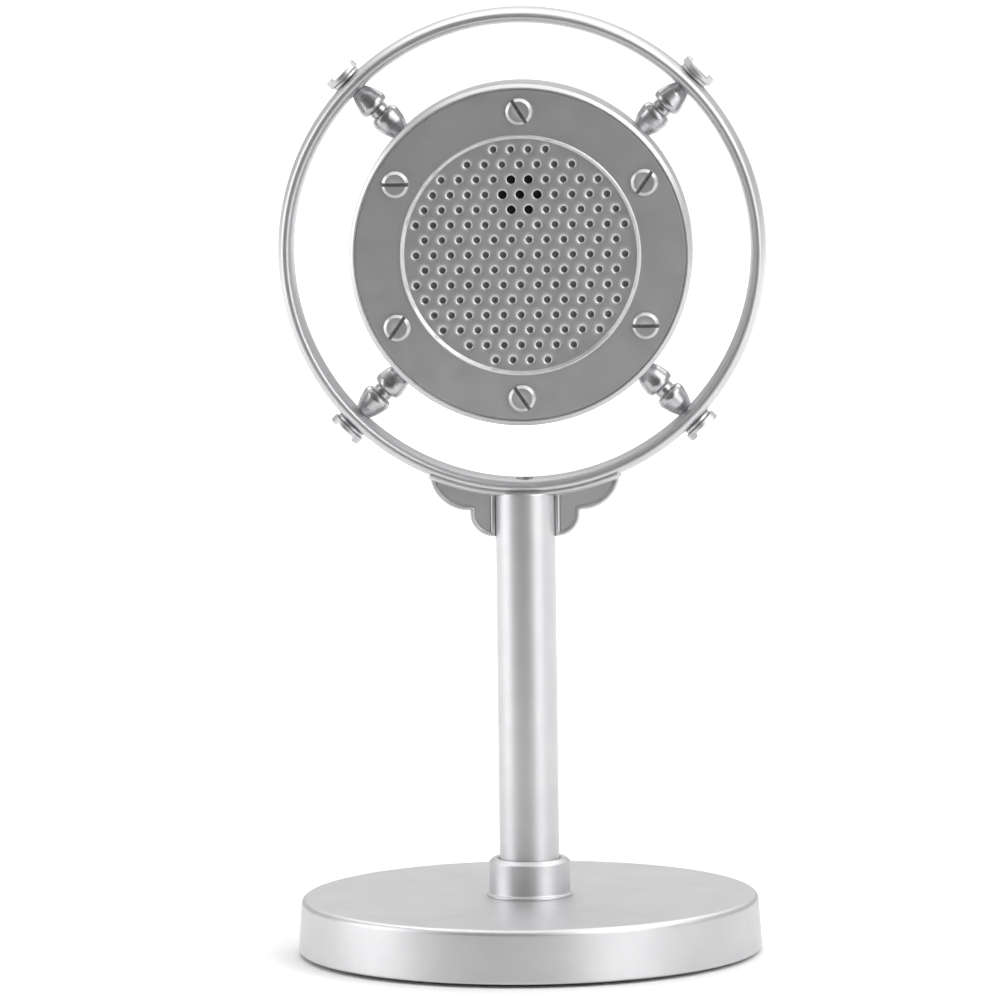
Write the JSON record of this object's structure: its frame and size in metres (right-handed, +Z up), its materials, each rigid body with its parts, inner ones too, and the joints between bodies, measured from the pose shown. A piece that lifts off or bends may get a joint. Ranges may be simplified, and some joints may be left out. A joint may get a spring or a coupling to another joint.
{
  "type": "desktop microphone",
  "caption": "Drum-shaped microphone head held by turned balusters in an oval-section hoop, on a scalloped saddle bracket, a tube pole and a round weighted base.",
  "frame": {"origin": "centre of the foot's underside, on the pole's axis", "axes": "+Z up along the pole, -Y is the front that is spoken into, +X is to the right when seen from the front"},
  "size_m": [0.1222, 0.1168, 0.2384],
  "materials": {
    "satin_silver": "satin silver, fine metallic grain",
    "polished_steel": "polished",
    "hardware_steel": "plain zinc-plated",
    "black_rubber": "matt",
    "lead_jacket": "satin jacket",
    "black_felt": "dense felt",
    "black_plastic": "fine moulded",
    "board_green": "solder mask",
    "plug_brass": "turned",
    "capsule_can": "drawn can"
  },
  "bodies": {
    "base": {"base_shell": "satin_silver", "collar": "satin_silver", "collar_nut": "hardware_steel", "wave_washer": "hardware_steel", "base_weight": "hardware_steel", "bottom_plate": "hardware_steel", "foot_ring": "black_rubber", "bottom_screw_1": "hardware_steel", "bottom_screw_2": "hardware_steel", "bottom_screw_3": "hardware_steel", "bottom_screw_4": "hardware_steel", "jack_socket": "black_plastic", "jack_nut": "polished_steel", "base_lead": "lead_jacket"},
    "stand": {"pole": "satin_silver", "snap_ring": "hardware_steel", "pole_plug": "plug_brass", "saddle_bracket": "satin_silver", "ring_hoop": "satin_silver", "ring_screw": "hardware_steel", "upper_lead": "lead_jacket", "front_bezel": "satin_silver", "grille": "satin_silver", "face_screw_1": "satin_silver", "face_screw_2": "satin_silver", "face_screw_3": "satin_silver", "face_screw_4": "satin_silver", "face_screw_5": "satin_silver", "face_screw_6": "satin_silver", "acoustic_felt": "black_felt", "grille_retainer": "hardware_steel", "capsule": "capsule_can", "capsule_boot": "black_rubber", "circuit_board": "board_green", "board_screw_1": "hardware_steel", "board_screw_2": "hardware_steel", "rear_shell": "satin_silver", "baluster_1": "polished_steel", "stud_1": "hardware_steel", "clamp_nut_1": "satin_silver", "clamp_washer_1": "satin_silver", "head_nut_1": "hardware_steel", "baluster_2": "polished_steel", "stud_2": "hardware_steel", "clamp_nut_2": "satin_silver", "clamp_washer_2": "satin_silver", "head_nut_2": "hardware_steel", "baluster_3": "polished_steel", "stud_3": "hardware_steel", "clamp_nut_3": "satin_silver", "clamp_washer_3": "satin_silver", "head_nut_3": "hardware_steel", "baluster_4": "polished_steel", "stud_4": "hardware_steel", "clamp_nut_4": "satin_silver", "clamp_washer_4": "satin_silver", "head_nut_4": "hardware_steel"}
  },
  "joints": [
    {"name": "pole_swivel", "type": "hinge", "parent": "base", "child": "stand", "pos_m": [0, 0, 0.016], "axis": [0, 0, 1], "range_deg": [-170, 170]}
  ]
}
